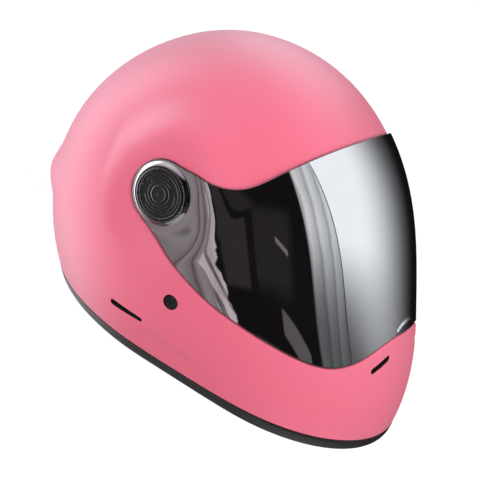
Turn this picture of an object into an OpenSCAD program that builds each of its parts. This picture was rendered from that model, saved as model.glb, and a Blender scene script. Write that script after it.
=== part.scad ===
// Full-face downhill helmet with a wide mirrored visor on two side hinges.
// The helmet stands on the flat underside of its rubber base trim, at z = 0,
// and faces -Y. The wearer's right is -X. The visor hinge axis runs along X.

/* [Shell] */
// Half width of the shell at its widest
shell_half_w = 124; // [120:1:128]
// Radius of the dome's side profile
dome_radius = 136; // [133:1:139]
// How much longer that radius is towards the top of the back and the front
dome_skew = 6.7; // [4:0.1:8]
// Roundness of the dome's sections, where 2 is an ellipse
dome_power = 2.22; // [2.1:0.01:2.4]
// Half width of the jaw's ellipsoid
jaw_half_w = 112.6; // [108:0.2:116]
// Half length of the jaw's ellipsoid
jaw_half_l = 165; // [160:1:170]
// Half height of the jaw's ellipsoid
jaw_half_h = 99.6; // [96:0.2:102]
// Tilt of the jaw's ellipsoid, front down, in degrees
jaw_tilt = 43; // [40:1:46]
// Height of the lip that meets the visor's face
lip_height = 2.6; // [2.2:0.1:3]
// Thickness of the shell
wall = 4; // [3:0.5:4.5]
// How far the spoiler ridge stands out at the back
ridge_height = 4.6; // [3:0.2:7]

/* [Base trim] */
// Height of the rubber trim under the shell
trim_h = 10; // [8:0.5:12]
// Width of the trim's foot
trim_w = 9.8; // [9.4:0.1:11]

/* [Visor] */
// Height of the hinge axis above the floor
hinge_z = 122.5; // [120:0.5:125]
// Thickness of the lens
lens_t = 2.2; // [1.8:0.1:2.4]
// Gap between the lens and the shell under it
lens_gap = 0.4; // [0.35:0.05:0.6]
// Gap between the lens's edge and the pocket that it lies in
edge_gap = 1.1; // [0.6:0.1:1.4]
// Radius of the lens's round end at the hinge
lobe_r = 23.4; // [23:0.1:24]
// Outer radius of the chrome bezel
bezel_r = 21.9; // [21:0.1:22.4]
// Radius of the ringed knob
knob_r = 18; // [16.5:0.5:18.5]
// How far the knob's face stands off the lens
knob_h = 3.6; // [3:0.1:4.5]
// Radius of the hinge post
post_r = 7; // [6:0.5:8]
// Radius of the knob's stem
stem_r = 4; // [3:0.5:4.5]
// Running clearance of the hinge and the stem, on the radius
run_gap = 0.05; // [0.03:0.01:0.1]

/* [Openings] */
// Length of each side slot
side_slot_l = 28; // [20:1:32]
// Width of each side slot at its wide end
side_slot_w = 4.6; // [3.5:0.1:5]
// Length of each chin slot
chin_slot_l = 21; // [16:1:24]
// Width of each chin slot
chin_slot_w = 4.2; // [3.4:0.1:5]
// Radius of the strap rivet's head
rivet_r = 5.4; // [4.6:0.1:6]

/* [Padding] */
// Half width of the space inside the foam liner
cavity_half_w = 90; // [88:1:92]
// Half length of the space inside the foam liner
cavity_half_l = 104; // [101:1:106]
// Height of the space inside the foam liner above its middle
cavity_half_h = 100; // [96:1:102]
// Thickness of the comfort pads
pad_t = 9; // [7:0.5:11]
// Thickness of the cheek pads
cheek_t = 22; // [18:1:24]
// Thickness of the foam in the chin bar
chin_foam_t = 16; // [12:1:18]

/* [Chin strap] */
// Width of the webbing
strap_w = 20; // [18:1:22]
// Thickness of the webbing
strap_t = 1.6; // [1.4:0.1:2]
// Wire radius of the rings
ring_wire = 1.5; // [1.2:0.1:1.8]

/* [Hidden] */

pink = [0.93, 0.42, 0.52];
rubber_black = [0.07, 0.07, 0.07];
foam_black = [0.13, 0.13, 0.14];
cloth_grey = [0.18, 0.18, 0.2];
chrome = [0.8, 0.8, 0.82];

hinge_y = 30.85;               // the hinge axis, behind the middle of the helmet
floor_z = -hinge_z;            // the floor, seen from the hinge axis
trim_top = floor_z + trim_h;
centre = [0, -11.8, -38];      // the dome's middle, seen from the hinge axis
dome_power_back = 0.13;        // added to the power at the back, taken off at the front
jaw_mid = [0, -49, -50.7];
blend = 18;                    // how softly the dome runs into the jaw
ridge_at = -6.6;               // angle of the spoiler ridge above the level, at the back
ridge_run = 19.5;              // angle over which it rises
ridge_power = 4;               // how sharply it rises
ridge_drop = 10;               // angle over which it falls
ridge_end = shell_half_w - 12; // where it ends at the sides
ridge_fade = 50;
seat_x = shell_half_w - 5.2;   // the flat seat of the hinge, from the middle
seat_r = 25;
seat_fade = 50;                // where it has run out into the dome
seat_more = 16;                // how much further out that is at the top
seat_fall = 0.015;             // how fast the seat falls away at the top
swing_r = 28.8;                // reach of the lens's flat end round the hinge
swing_far = 50;                // the lens's inner face falls away from there to here
swing_drop = 6.4;
far = 260;                     // longer than the helmet is wide or long

ledge = 0.15;                  // depth of the visor pocket's floor under the base surface
tongue_h = 5;                  // the shell's edge that stands in the trim
tongue_step = 2.4;
tongue_in = wall + lip_height - 1;
trim_gap = 0.15;
groove_room = 2.0;             // room in the trim's groove behind the tongue
port_inset = 13;               // the eye port's edge inside the visor's
port_round = 9;
port_end = -36;                // where the eye port ends at the side, before its inset
gasket_w = 3.5;
foam_gap = 0.6;
liner_end = -66;               // where the liner ends beside the face
strap_bay_x = shell_half_w - 21.5;   // the strap runs in a bay outside this
strap_bay_side = 6;            // room in the bay beside the webbing
strap_bay_up = 14;             // how far the bay goes up above the rivet
strap_bay_step = [18, 36];     // how much wider the bay is below, and how far down
foam_end = trim_top + 2;       // where the foam ends at the bottom
port_room = 3;                 // between the eye port and the foam
liner_joint = 11;              // height of the glued joint between crown and ring foam
glue_t = 0.1;
hinge_bay_r = 24;              // room in the foam for the hinge
hinge_bay_gap = 3;
cavity_mid = [0, -11, -36];
pad_gap = 0.4;

lens_out = lens_gap + lens_t;
lens_face = seat_x + lens_out + 0.05;
tab_at = [0, -161, -35];
tab_w = 38;
tab_lean = -20;
bush_r = post_r + 2;
bezel_h = 2.8;
knob_gap = 0.35;
bezel_crest_r = (bezel_r + knob_r + knob_gap) / 2;
bezel_floor = 0.6;
base_r = 20;
base_foot = seat_x - 1.75;
base_top = seat_x - 0.3;
hub_r = post_r + 1;
hub_foot = seat_x - 6.9;
post_top = lens_face + 0.75;
screw_r = 1.5;
screw_head_r = 2.8;
screw_head_h = 1.2;
screw_foot = seat_x - 6.5;
hinge_screw_ring = 14;
stem_foot = hub_foot + 1;
knob_face = lens_face + knob_h;
knob_rings = 4;
knob_ring_step = 2.6;
knob_groove = 0.9;
knob_boss_r = 5;

side_slot_at = [shell_half_w - 6, -10.5, -90];
side_slot_rise = 1.1;          // how much higher its front end is
side_slot_taper = 0.7;         // its front end's width, as a share of the wide end's
chin_slot_at = [36.8, -168.8, -54.5];
chin_slot_dir = [0.884, 0.126, -0.454];
chin_slot_out = [0.32, -0.865, 0.385] / norm([0.32, -0.865, 0.385]);
grille_depth = 1.6;

rivet_at = [shell_half_w + 0.2, -39.4, -62.2];
hanger_x = shell_half_w - 14;
hanger_t = 1.2;
hanger_l = 24;
strap_side = min(hanger_x, jaw_half_w - 2.6);   // where the strap turns in below
bay_w = strap_w + 2 * strap_bay_side;
strap_y = rivet_at.y;
strap_low = floor_z + 1.9;     // middle of the webbing where it lies lowest
ring_x = 34;
ring_l = 14;
ring_half = 13;
ring_bend = 4;

function clamp01(t) = min(max(t, 0), 1);
function ease(t) = let(c = clamp01(t)) c * c * (3 - 2 * c);
function soft_max(a, b, h) = max(a, b) + pow(max(h - abs(a - b), 0), 2) / (4 * h);

// Distance from the dome's middle to the dome, along d
function dome_at(d) =
    let (
        q = max(norm([d.y, d.z]), 1e-6),
        back = d.y / q,
        up = d.z / q,
        n = dome_power + dome_power_back * back,
        r = dome_radius + dome_skew * 2 * back * up
    )
    pow(pow(abs(d.x) / shell_half_w, n) + pow(q / r, n), -1 / n);

// A vector in the jaw's tilted frame, in units of the jaw's half sizes
function in_jaw(v) =
    let (c = cos(jaw_tilt), s = sin(jaw_tilt))
    [v.x / jaw_half_w, (c * v.y + s * v.z) / jaw_half_l, (c * v.z - s * v.y) / jaw_half_h];

function jaw_at(d) =
    let (
        a = in_jaw(d),
        b = in_jaw(centre - jaw_mid),
        root = pow(a * b, 2) - (a * a) * (b * b - 1)
    )
    (sqrt(max(root, 0)) - a * b) / (a * a);

function ridge_at_dir(d, r) =
    let (
        angle = atan2(d.z, d.y),
        rise = pow(ease(1 - (angle - ridge_at) / ridge_run), ridge_power),
        drop = ease(1 - (ridge_at - angle) / ridge_drop)
    )
    ridge_height * (angle > ridge_at ? rise : drop) * ease((ridge_end - abs(d.x) * r) / ridge_fade);

// Distance from the dome's middle to the helmet's base surface, along d
function base_at(d) =
    let (
        r0 = soft_max(dome_at(d), jaw_at(d), blend),
        r = r0 + ridge_at_dir(d, r0),
        p = centre + d * r,
        reach = norm([p.y, p.z]),
        top = ease(p.z / max(reach, 1) + 0.2),
        seat_end = seat_fade + seat_more * top,
        seat = ease((seat_end - reach) / (seat_end - seat_r)),
        dish = seat_x - seat_fall * top * pow(max(reach - seat_r, 0), 2)
    )
    seat > 0 ? r * (1 - seat) + seat * dish / abs(d.x) : r;

// The lip below and behind the visor: none above the hinge axis at the front
function lip_at(p) =
    let (
        turn = atan2(p.z, -p.y),
        angle = turn < -150 ? turn + 360 : turn
    )
    lip_height * ease((norm([p.y, p.z]) - 8) / 14)
        * (angle < 60 ? ease((25 - angle) / 30) : ease((angle - 150) / 50));

function on_skin(d, off, lip) =
    let (r = base_at(d))
    centre + d * (r + off + (lip ? lip_at(centre + d * r) : 0));

// A closed skin round the helmet, off outside the base surface
module skin(off, lip = false, rings = 25) {
    steps = 2 * rings;
    function dir(i, j) =
        let (v = 180 * i / rings, u = 360 * j / steps)
        [-cos(v), -sin(v) * cos(u), sin(v) * sin(u)];
    points = concat(
        [on_skin([-1, 0, 0], off, lip)],
        [for (i = [1 : rings - 1]) for (j = [0 : steps - 1]) on_skin(dir(i, j), off, lip)],
        [on_skin([1, 0, 0], off, lip)]
    );
    last = len(points) - 1;
    function at(i, j) = 1 + (i - 1) * steps + j % steps;
    faces = concat(
        [for (j = [0 : steps - 1]) [0, at(1, j + 1), at(1, j)]],
        [for (i = [1 : rings - 2]) for (j = [0 : steps - 1]) each [
            [at(i, j), at(i + 1, j + 1), at(i + 1, j)],
            [at(i, j), at(i, j + 1), at(i + 1, j + 1)]
        ]],
        [for (j = [0 : steps - 1]) [last, at(rings - 1, j), at(rings - 1, j + 1)]]
    );
    polyhedron(points, faces, convexity = 6);
}

module at_hinge() {
    translate([0, hinge_y, hinge_z]) children();
}
module both_sides() {
    children();
    mirror([1, 0, 0]) children();
}
// Turns something that stands on z = 0 to point out of one side, along the hinge axis
module outwards(side) {
    mirror([side < 0 ? 1 : 0, 0, 0]) rotate([0, 90, 0]) children();
}
// Everything below a height
module below(z) {
    translate([-far, -far, z - far]) cube([2 * far, 2 * far, far]);
}

// A smooth curve through points, with parts pieces between each two
function curve(p, parts = 2) = [
    for (i = [0 : len(p) - 2]) for (k = [0 : parts - 1])
        let (
            t = k / parts,
            a = p[max(i - 1, 0)],
            b = p[i],
            c = p[i + 1],
            d = p[min(i + 2, len(p) - 1)]
        )
        (2 * b + (c - a) * t + (2 * a - 5 * b + 4 * c - d) * t * t
            + (3 * b - a - 3 * c + d) * t * t * t) / 2,
    p[len(p) - 1]
];

// The visor seen from the side as [y, z]: its upper and its lower edge, from the hinge
// to the front. The last points lie clear in front of the helmet.
visor_top = curve([
    [-17.5, 21], [-28, 20.8], [-41, 25], [-51, 33], [-61, 48], [-70, 61], [-79, 73.5],
    [-97, 96], [-140, 110], [-190, 100], [-240, 40]
]);
visor_low = curve([
    [-13.5, -29.7], [-40, -39.8], [-64, -47.4], [-85, -51.7], [-108, -55.8], [-128, -59.2],
    [-143, -59.6], [-151, -58], [-158, -51.5], [-162.3, -42], [-163.6, -33.5]
]);

// The visor's outline as a straight-sided block across the helmet, grown by grow
module visor_block(grow) {
    rotate([90, 0, 90]) linear_extrude(2 * far, center = true) offset(r = grow, $fn = 16) {
        hull() {
            circle(r = lobe_r, $fn = 48);
            translate(visor_top[0]) circle(r = 0.5, $fn = 8);
            translate(visor_low[0]) circle(r = 0.5, $fn = 8);
        }
        for (i = [0 : len(visor_top) - 2])
            hull() polygon([visor_top[i], visor_low[i], visor_low[i + 1], visor_top[i + 1]]);
    }
}
// The eye port: the same outline drawn in, and ended ahead of the hinge
module port_block(grow) {
    rotate([90, 0, 90]) linear_extrude(2 * far, center = true)
        offset(r = port_round + grow, $fn = 20) offset(delta = -port_round - port_inset)
            intersection() {
                for (i = [0 : len(visor_top) - 2])
                    hull()
                        polygon([visor_top[i], visor_low[i], visor_low[i + 1], visor_top[i + 1]]);
                translate([port_end - far, -far / 2]) square([far, 1.2 * far]);
            }
}

// A drill along n through p
module drill(p, n, r, l) {
    translate(p) rotate([0, acos(n.z), atan2(n.y, n.x)])
        cylinder(r = r, h = l, center = true, $fn = 14);
}
// A slot from a to b, narrowing from r1 to r2
module slot(a, b, n, r1, r2, l) {
    hull() {
        drill(a, n, r1, l);
        drill(b, n, r2, l);
    }
}
module side_slots(shrink, l) {
    wide = side_slot_w / 2;
    narrow = wide * side_slot_taper;
    both_sides() slot(side_slot_at + [0, side_slot_l / 2 - wide, 0],
        side_slot_at + [0, narrow - side_slot_l / 2, side_slot_rise], [1, 0, 0],
        wide - shrink, narrow - shrink, l);
}
module chin_slots(shrink, l) {
    reach = chin_slot_l / 2 - chin_slot_w / 2;
    both_sides() slot(chin_slot_at - chin_slot_dir * reach, chin_slot_at + chin_slot_dir * reach,
        chin_slot_out, chin_slot_w / 2 - shrink, chin_slot_w / 2 - shrink, l);
}
module hinge_screw_places() {
    for (a = [50, 230]) rotate(a) translate([hinge_screw_ring, 0]) children();
}

// What the lens's end turns on without touching: flat round the hinge, then falling away
module swing_core(gap) {
    rotate_extrude($fn = 64) polygon([
        [0, 0], [swing_far, 0], [swing_far, seat_x + gap - swing_drop],
        [swing_r, seat_x + gap], [0, seat_x + gap]
    ]);
}

// The skins that lie inside the shell are coarser, and share one grid
module inner_skin(off) {
    skin(off, rings = 16);
}

module outer_shell() color(pink) at_hinge() difference() {
    skin(0, true);
    inner_skin(-wall);
    below(trim_top - tongue_h);
    // The tongue that the trim grips, cut from both sides
    intersection() {
        below(trim_top);
        skin(-tongue_in, true);
    }
    difference() {
        below(trim_top);
        skin(-tongue_step, true);
    }
    // The pocket that the visor lies in, down to a ledge
    difference() {
        visor_block(edge_gap);
        skin(-ledge);
    }
    port_block(0);
    side_slots(0, 2 * wall + 20);
    chin_slots(0, 2 * wall + 20);
    both_sides() {
        translate([0, rivet_at.y, rivet_at.z]) outwards(1) {
            cylinder(r = rivet_r + 0.1, h = far, $fn = 48);
        }
        outwards(1) {
            // Room above the hinge for the lens's end to swing in
            difference() {
                linear_extrude(far) polygon(concat([[0, 0]],
                    [for (a = [150 : 10 : 240]) swing_far * [cos(a), sin(a)]]));
                swing_core(-0.1);
            }
            translate([0, 0, base_foot - 0.05]) cylinder(r = base_r + 0.5, h = far, $fn = 64);
            cylinder(r = hub_r + 0.4, h = far, $fn = 48);
            hinge_screw_places() cylinder(r = screw_r + 0.2, h = far, $fn = 24);
        }
    }
}

// A point of the helmet's outline at height z, off outside its lipped skin
function rim_point(turn, z, off, q = 120, tries = 14) =
    let (v = [q * sin(turn), -q * cos(turn), z - centre.z])
    tries == 0 ? v + centre
    : let (
        d = v / norm(v),
        r = base_at(d) + lip_at(centre + d * base_at(d)) + off
    )
    rim_point(turn, z, off, sqrt(r * r - v.z * v.z), tries - 1);

// A closed ring of sections round the helmet, each a list of [off, z]
module rim_ring(section, steps = 72) {
    n = len(section);
    points = [for (i = [0 : steps - 1]) for (s = section) rim_point(360 * i / steps, s[1], s[0])];
    faces = [for (i = [0 : steps - 1]) for (k = [0 : n - 1])
        let (i2 = (i + 1) % steps, k2 = (k + 1) % n) each [
            [i * n + k, i2 * n + k2, i * n + k2],
            [i * n + k, i2 * n + k, i2 * n + k2]
        ]];
    polyhedron(points, faces, convexity = 6);
}

// A U-shaped rubber channel that the shell's tongue stands in
module base_trim() color(rubber_black) at_hinge() rim_ring([
    [0, trim_top - trim_gap],
    [0.4, (trim_top + floor_z) / 2],
    [-0.6, floor_z + 1.5],
    [-2, floor_z],
    [-trim_w, floor_z],
    [-trim_w, trim_top - 2],
    [-tongue_in - groove_room, trim_top - 2],
    [-tongue_in - groove_room, trim_top - tongue_h - trim_gap],
    [-tongue_step + 2 * trim_gap, trim_top - tongue_h - trim_gap],
    [-tongue_step + 2 * trim_gap, trim_top - trim_gap]
]);

module eye_port_gasket() color(rubber_black) at_hinge() difference() {
    intersection() {
        skin(-ledge);
        port_block(-0.1);
    }
    inner_skin(-wall - 1.5);
    port_block(-gasket_w);
}

// The space inside the foam liner: a half ellipsoid that runs straight down
module cavity(steps = 36) {
    round_out = 1 / pow(cos(180 / steps), 2);   // so that the facets lie outside the true curve
    translate(cavity_mid) scale([cavity_half_w, cavity_half_l, cavity_half_h]) hull() {
        sphere(r = round_out, $fn = steps);
        translate([0, 0, -3]) cylinder(r = round_out, h = 1, $fn = steps);
    }
}

// All the foam of the dome, which is glued together from a crown and a ring
module dome_foam() difference() {
    inner_skin(-wall - foam_gap);
    cavity();
    below(foam_end);
    port_block(port_room);
    // The chin bar has its own foam
    translate([-far, liner_end - 2 * far, -2 * far]) cube([2 * far, 2 * far, 2 * far + 20]);
    both_sides() {
        outwards(1) translate([0, 0, hub_foot - hinge_bay_gap])
            cylinder(r = hinge_bay_r, h = far, $fn = 32);
        translate([strap_bay_x, rivet_at.y - bay_w / 2, rivet_at.z - far])
            cube([far, bay_w, far + strap_bay_up]);
        translate([
            strap_bay_x - strap_bay_step[0], rivet_at.y - bay_w / 2,
            rivet_at.z - far - strap_bay_step[1]
        ])
            cube([far, bay_w, far]);
    }
}

module crown_liner() color(foam_black) at_hinge() difference() {
    dome_foam();
    below(liner_joint + glue_t);
}

module ring_liner() color(foam_black) at_hinge() difference() {
    dome_foam();
    translate([-far, -far, liner_joint]) cube(2 * far);
}

module chin_liner() color(foam_black) at_hinge() difference() {
    inner_skin(-wall - foam_gap);
    inner_skin(-wall - foam_gap - chin_foam_t);
    below(foam_end);
    port_block(port_room);
    translate([-far, liner_end - 2, -far]) cube([2 * far, 2 * far, 2 * far]);
    translate([-far, -2 * far, -10]) cube([2 * far, 2 * far, 2 * far]);
}

// A point on the cavity's wall, depth inside it. turn is measured from the front
// and rise from the middle's height: degrees above it, millimetres below it.
function wall_point(turn, rise, depth) =
    let (
        a = cavity_half_w - depth,
        b = cavity_half_l - depth,
        c = cavity_half_h - depth,
        flat = rise > 0 ? cos(rise) : 1
    )
    cavity_mid + [a * flat * sin(turn), -b * flat * cos(turn), rise > 0 ? c * sin(rise) : rise];

// How thick a cushion is at s, t, each from -1 to 1 across it. Its edges are drawn in,
// its middle is crowned and channels press grooves across it.
function puff(s, t, channels) =
    let (
        edge = pow(max(1 - pow(abs(s), 5), 0), 0.5) * pow(max(1 - pow(abs(t), 5), 0), 0.5),
        crown = 1 - 0.15 * (s * s + t * t),
        groove = max([0, for (c = channels) exp(-pow((s - c) / 0.07, 2))])
    )
    0.25 + 0.75 * edge * crown * (1 - 0.5 * groove);

// A point in a range, for s from -1 to 1
function within(range, s) = range[0] + (range[1] - range[0]) * (s + 1) / 2;

// Where a cushion's points lie: round the side of the cavity, or over its top
function round_wall(turn, rise) = function (s, t, depth)
    wall_point(within(turn, s), within(rise, t), depth);
function over_top(across, along) = function (s, t, depth)
    let (
        v = [within(across, s), within(along, t), 1],
        d = v / norm(v)
    )
    cavity_mid + [
        (cavity_half_w - depth) * d.x, (cavity_half_l - depth) * d.y,
        (cavity_half_h - depth) * d.z
    ];

// A cushion against the cavity's wall
module cushion(place, thick, channels, n, m) {
    function spot(i, j, inner) =
        let (s = 2 * i / n - 1, t = 2 * j / m - 1)
        place(s, t, pad_gap + (inner ? thick * puff(s, t, channels) : 0));
    points = [for (inner = [false, true]) for (i = [0 : n]) for (j = [0 : m]) spot(i, j, inner)];
    back = (n + 1) * (m + 1);
    function at(i, j, k) = i * (m + 1) + j + k * back;
    function quad(a, b, c, d) = [[a, b, c], [a, c, d]];
    faces = [
        for (i = [0 : n - 1]) for (j = [0 : m - 1]) each concat(
            quad(at(i, j, 0), at(i, j + 1, 0), at(i + 1, j + 1, 0), at(i + 1, j, 0)),
            quad(at(i, j, 1), at(i + 1, j, 1), at(i + 1, j + 1, 1), at(i, j + 1, 1))
        ),
        for (i = [0 : n - 1]) each concat(
            quad(at(i, 0, 0), at(i + 1, 0, 0), at(i + 1, 0, 1), at(i, 0, 1)),
            quad(at(i, m, 0), at(i, m, 1), at(i + 1, m, 1), at(i + 1, m, 0))
        ),
        for (j = [0 : m - 1]) each concat(
            quad(at(0, j, 0), at(0, j, 1), at(0, j + 1, 1), at(0, j + 1, 0)),
            quad(at(n, j, 0), at(n, j + 1, 0), at(n, j + 1, 1), at(n, j, 1))
        )
    ];
    polyhedron(points, faces, convexity = 6);
}

module crown_pad() color(cloth_grey) at_hinge()
    cushion(over_top([-0.8, 0.8], [-0.1, 1.35]), pad_t, [-0.5, 0, 0.5], 24, 12);
module brow_pad() color(cloth_grey) at_hinge()
    cushion(round_wall([-50, 50], [51, 66]), pad_t, [-0.33, 0.33], 24, 8);
module neck_roll() color(cloth_grey) at_hinge()
    cushion(round_wall([128, 232], [-66, -26]), pad_t + 3, [-0.4, 0, 0.4], 26, 8);
module cheek_pad(side) color(cloth_grey) at_hinge()
    mirror([side < 0 ? 1 : 0, 0, 0])
        cushion(round_wall([64, 104], [-68, -12]), cheek_t, [0], 16, 14);
module cheek_pad_left() cheek_pad(1);
module cheek_pad_right() cheek_pad(-1);

module visor_lens() color([0.25, 0.25, 0.27, 0.9]) at_hinge() difference() {
    intersection() {
        union() {
            skin(lens_out);
            // The thumb lip at the middle of the lower edge
            translate(tab_at) rotate([tab_lean, 0, 0]) scale([1, 0.3, 0.45])
                sphere(r = tab_w / 2, $fn = 28);
        }
        visor_block(0);
    }
    skin(lens_gap);
    rotate([0, 90, 0]) {
        swing_core(lens_gap);
        mirror([0, 0, 1]) swing_core(lens_gap);
        cylinder(r = bush_r + 0.3, h = 2 * far, center = true, $fn = 48);
    }
}

// A chrome ring with a floor and a bush that runs on the hinge post
module visor_bezel(side) color(chrome) at_hinge() outwards(side) rotate_extrude($fn = 120)
    polygon([
        [post_r + run_gap, seat_x + lens_gap + 0.1],
        [bush_r, seat_x + lens_gap + 0.1],
        [bush_r, lens_face],
        [bezel_r, lens_face],
        [bezel_r, lens_face + bezel_h - 1.4],
        [bezel_r - 0.6, lens_face + bezel_h - 0.5],
        [bezel_crest_r, lens_face + bezel_h],
        [knob_r + knob_gap + 0.6, lens_face + bezel_h - 0.5],
        [knob_r + knob_gap, lens_face + bezel_h - 1.4],
        [knob_r + knob_gap, lens_face + bezel_floor],
        [post_r + run_gap, lens_face + bezel_floor]
    ]);
module visor_bezel_left() visor_bezel(1);
module visor_bezel_right() visor_bezel(-1);

// The plate in the shell's seat, with the post that the visor turns on
module hinge_base(side) color(foam_black) at_hinge() outwards(side) difference() {
    union() {
        translate([0, 0, base_foot]) cylinder(r = base_r, h = base_top - base_foot, $fn = 96);
        translate([0, 0, hub_foot]) cylinder(r = hub_r, h = base_foot - hub_foot + 1, $fn = 96);
        cylinder_between(post_r, base_top - 1, post_top);
    }
    cylinder_between(stem_r + run_gap, hub_foot - 1, post_top + 1);
    hinge_screw_places() {
        cylinder_between(screw_r + 0.05, base_foot - 1, base_top + 1);
        translate([0, 0, base_top - screw_head_h])
            cylinder(r1 = screw_r + 0.05, r2 = screw_head_r + 0.1, h = screw_head_h + 0.01, $fn = 48);
    }
}
module hinge_base_left() hinge_base(1);
module hinge_base_right() hinge_base(-1);
module cylinder_between(r, z1, z2) {
    translate([0, 0, z1]) cylinder(r = r, h = z2 - z1, $fn = 96);
}

module hinge_screws() color(chrome) at_hinge() for (side = [-1, 1])
    outwards(side) hinge_screw_places() rotate_extrude($fn = 48) polygon([
        [0, screw_foot],
        [screw_r, screw_foot],
        [screw_r, base_top - screw_head_h],
        [screw_head_r, base_top - 0.05],
        [screw_head_r, base_top],
        [0, base_top]
    ]);

// A ringed disc that is turned by a quarter to free the visor, on a stem in the post
module knob(side) color(rubber_black) at_hinge() outwards(side) difference() {
    rotate_extrude($fn = 120) polygon(concat(
        [[0, stem_foot], [stem_r, stem_foot], [stem_r, post_top + 0.1], [knob_r, post_top + 0.1]],
        [[knob_r, knob_face - 0.8], [knob_r - 0.8, knob_face]],
        [for (i = [0 : knob_rings - 1]) each let (r = knob_r - 1.6 - i * knob_ring_step) [
            [r, knob_face],
            [r - 0.4, knob_face - knob_groove],
            [r - 0.4 - knob_ring_step / 3, knob_face - knob_groove],
            [r - 0.8 - knob_ring_step / 3, knob_face - 0.1]
        ]],
        [[knob_boss_r, knob_face - 0.1], [knob_boss_r - 0.5, knob_face + 0.3], [0, knob_face + 0.3]]
    ));
    // Two finger notches in the rim
    for (a = [0, 180]) rotate(a) translate([knob_r + 0.6, 0, knob_face - 1])
        cylinder(r = 1.6, h = 3, $fn = 48);
}
module knob_left() knob(1);
module knob_right() knob(-1);

module strap_rivets() color(foam_black) at_hinge() for (side = [-1, 1])
    translate([0, rivet_at.y, rivet_at.z]) outwards(side) rotate_extrude($fn = 72) polygon([
        [0, hanger_x - 1.5],
        [5, hanger_x - 1.5],
        [5, hanger_x - 0.05],
        [2.6, hanger_x - 0.05],
        [2.6, rivet_at.x - 3.4],
        [rivet_r, rivet_at.x - 3.4],
        [rivet_r, rivet_at.x - 2],
        [rivet_r - 0.8, rivet_at.x - 1.4],
        [1.6, rivet_at.x - 1.4],
        [1.2, rivet_at.x - 2],
        [0, rivet_at.x - 2]
    ]);

// Steel plates under the rivets, each with a slot that a strap end loops through
module strap_hangers() color(chrome) at_hinge() for (side = [-1, 1])
    translate([0, rivet_at.y, rivet_at.z]) outwards(side) translate([0, 0, hanger_x]) difference() {
        linear_extrude(hanger_t) translate([hanger_l / 2 - 9, 0])
            square([hanger_l, strap_w + 6], center = true);
        cylinder(r = 2.7, h = 9, center = true, $fn = 48);
        translate([hanger_l - 14, 0]) cube([3, strap_w + 1, 9], center = true);
    }

// Webbing along a path of [x, z], seen from the front
module webbing(path, t) {
    n = len(path);
    function side(i) =
        let (
            a = path[max(i - 1, 0)],
            b = path[min(i + 1, n - 1)],
            u = (b - a) / norm(b - a)
        )
        [-u[1], u[0]] * t / 2;
    translate([0, strap_y, 0]) rotate([90, 0, 0]) linear_extrude(strap_w, center = true)
        polygon(concat(
            [for (i = [0 : n - 1]) path[i] + side(i)],
            [for (i = [n - 1 : -1 : 0]) path[i] - side(i)]
        ));
}

// The end of a strap: through the hanger's slot, round its lower bar and down to the floor
function strap_end(side) = [for (p = [
    [hanger_x - 1.3, -80], [hanger_x - 1.3, -74.5], [hanger_x - 0.4, -72.2],
    [hanger_x + 1.4, -72.2], [hanger_x + 2.3, -74.5], [hanger_x + 2.3, -77.5],
    [hanger_x + 1, -81], [strap_side - 3.5, -92], [strap_side - 6.5, -101],
    [strap_side - 14, -110], [strap_side - 25, -117], [strap_side - 39, strap_low]
]) [side * p[0], p[1]]];

// The long strap comes from the right, goes up through both rings and folds back
module strap_long() color(cloth_grey) at_hinge() webbing(concat(strap_end(-1), [
    [ring_x - 17, strap_low], [ring_x - 11.8, strap_low + 0.2], [ring_x - 10.7, strap_low + 2.6],
    [ring_x - 10.7, strap_low + 6.6], [ring_x - 12.5, strap_low + 8.2],
    [ring_x - 15.5, strap_low + 8.2], [ring_x - 18, strap_low + 7],
    [ring_x - 21, strap_low + 5], [ring_x - 28, strap_low + 4.6],
    [ring_x - 54, strap_low + 3.4], [ring_x - 80, strap_low + 2.4]
]), strap_t);

// The short strap comes from the left and loops round the back bars of both rings
module strap_short() color(cloth_grey) at_hinge() webbing(concat(strap_end(1), [
    [ring_x - 4, strap_low], [ring_x - 6.1, strap_low + 2.1], [ring_x - 6.4, strap_low + 6.1],
    [ring_x - 4.5, strap_low + 8.1], [ring_x + 1, strap_low + 8.2],
    [ring_x + 5, strap_low + 6.6], [ring_x + 11, strap_low + 3.1], [ring_x + 16, strap_low + 2]
]), strap_t);

// A flat ring with its back bar at x
module strap_ring(x, z) {
    translate([x, strap_y, z]) {
        for (bar = [0, -ring_l]) translate([bar, 0, 0])
            rotate([90, 0, 0]) cylinder(r = ring_wire, h = 2 * ring_half - 2 * ring_bend,
                center = true, $fn = 36);
        for (side = [-1, 1]) translate([-ring_l / 2, side * ring_half, 0])
            rotate([0, 90, 0]) cylinder(r = ring_wire, h = ring_l - 2 * ring_bend,
                center = true, $fn = 36);
        for (c = [[0, 0, 1, 0], [0, 0, -1, 270], [-ring_l, 0, 1, 90], [-ring_l, 0, -1, 180]])
            translate([c[0] - (c[0] < 0 ? -ring_bend : ring_bend),
                c[2] * (ring_half - ring_bend), 0])
                rotate(c[3]) rotate_extrude(angle = 90, $fn = 48)
                    translate([ring_bend, 0]) circle(r = ring_wire, $fn = 36);
    }
}
module d_rings() color(chrome) at_hinge() {
    strap_ring(ring_x - 3, strap_low + 2.4);
    strap_ring(ring_x, strap_low + 5.5);
}

// Two soft pads that lie on the straps under the jaw
module strap_pad() color(cloth_grey) at_hinge() both_sides() hull()
    for (p = [[-30, 5.8], [-42, 4.4], [-54, 3.9]]) for (y = [-1, 1])
        translate([strap_side + p[0], strap_y + y * (strap_w / 2 + 1), strap_low + p[1]])
            sphere(r = 1.9, $fn = 12);

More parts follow.
